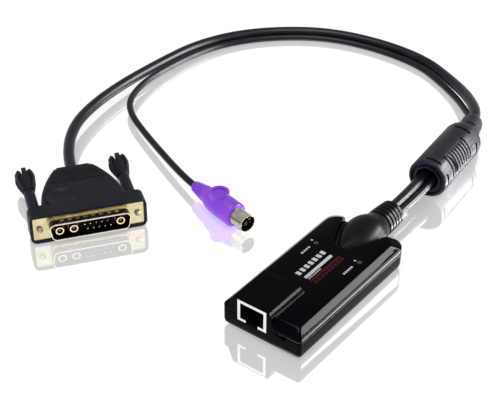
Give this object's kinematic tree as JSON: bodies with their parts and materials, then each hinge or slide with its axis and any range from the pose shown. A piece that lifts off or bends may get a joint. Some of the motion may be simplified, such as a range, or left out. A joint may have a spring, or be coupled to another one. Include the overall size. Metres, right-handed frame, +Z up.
{
  "type": "kvm dongle",
  "caption": "Flat box with a network socket at one end and a flexible two-cord lead at the other, through a ferrite to a thumbscrewed video plug and a round keyboard plug.",
  "frame": {"origin": "on the resting plane, under the middle of the housing and its cable boot", "axes": "+Y along the housing from the network socket to the cable boot, +Z up from the resting plane, +X to the right of someone facing the network socket"},
  "size_m": [0.2083, 0.2625, 0.0203],
  "materials": {
    "housing": "gloss",
    "boot": "satin",
    "board": "solder mask",
    "chips": "matte",
    "led_green": "clear",
    "led_amber": "clear",
    "screw": "zinc plated",
    "socket_metal": "nickel plated",
    "socket_plastic": "matte",
    "contact": "gold plated",
    "switch": "matte",
    "cord": "satin",
    "ferrite_jacket": "satin",
    "ferrite": "sintered",
    "hood": "satin",
    "flange": "yellow chromate",
    "plug_plastic": "matte",
    "coax_metal": "gold plated",
    "coax_plastic": "matte",
    "pin": "plated",
    "jackscrew": "nickel plated",
    "knob": "satin",
    "purple_plastic": "satin",
    "barrel": "nickel plated"
  },
  "bodies": {
    "dongle": {"upper_shell": "housing", "lower_shell": "housing", "cable_boot": "boot", "circuit_board": "board", "board_components": "chips", "led_lens_green": "led_green", "led_lens_amber": "led_amber", "case_screws": "screw", "rj45_shield": "socket_metal", "rj45_insulator": "socket_plastic", "rj45_contacts": "contact", "recovery_switch_body": "switch", "ferrite_jacket": "ferrite_jacket", "ferrite_core": "ferrite", "video_cord": "cord", "ps2_cord": "cord", "video_hood": "hood", "plug_shell": "flange", "plug_rear_shell": "flange", "plug_insulator": "plug_plastic", "coax_shields": "coax_metal", "coax_insulators": "coax_plastic", "coax_pins": "pin", "signal_pins": "pin", "din_overmould": "purple_plastic", "din_barrel": "barrel", "din_insulator": "plug_plastic", "din_pins": "pin"},
    "left_clip": {"left_retaining_clip": "jackscrew"},
    "left_thumbscrew": {"left_jackscrew": "jackscrew", "left_thumb_knob": "knob"},
    "right_clip": {"right_retaining_clip": "jackscrew"},
    "right_thumbscrew": {"right_jackscrew": "jackscrew", "right_thumb_knob": "knob"},
    "recovery_slider": {"recovery_switch_slider": "switch"}
  },
  "joints": [
    {"name": "left_screw_float", "type": "slide", "parent": "dongle", "child": "left_clip", "axis": [0.81, -0.5864, 0], "range_m": [0, 0.0026]},
    {"name": "left_screw_turn", "type": "hinge", "parent": "left_clip", "child": "left_thumbscrew", "pos_m": [-0.12469, -0.0588, 0.0079], "axis": [0.81, -0.5864, 0], "continuous": true},
    {"name": "right_screw_float", "type": "slide", "parent": "dongle", "child": "right_clip", "axis": [0.81, -0.5864, 0], "range_m": [0, 0.0026]},
    {"name": "right_screw_turn", "type": "hinge", "parent": "right_clip", "child": "right_thumbscrew", "pos_m": [-0.09711, -0.0207, 0.0079], "axis": [0.81, -0.5864, 0], "continuous": true},
    {"name": "recovery_switch", "type": "slide", "parent": "dongle", "child": "recovery_slider", "axis": [1, 0, 0], "range_m": [0, 0.002]}
  ]
}
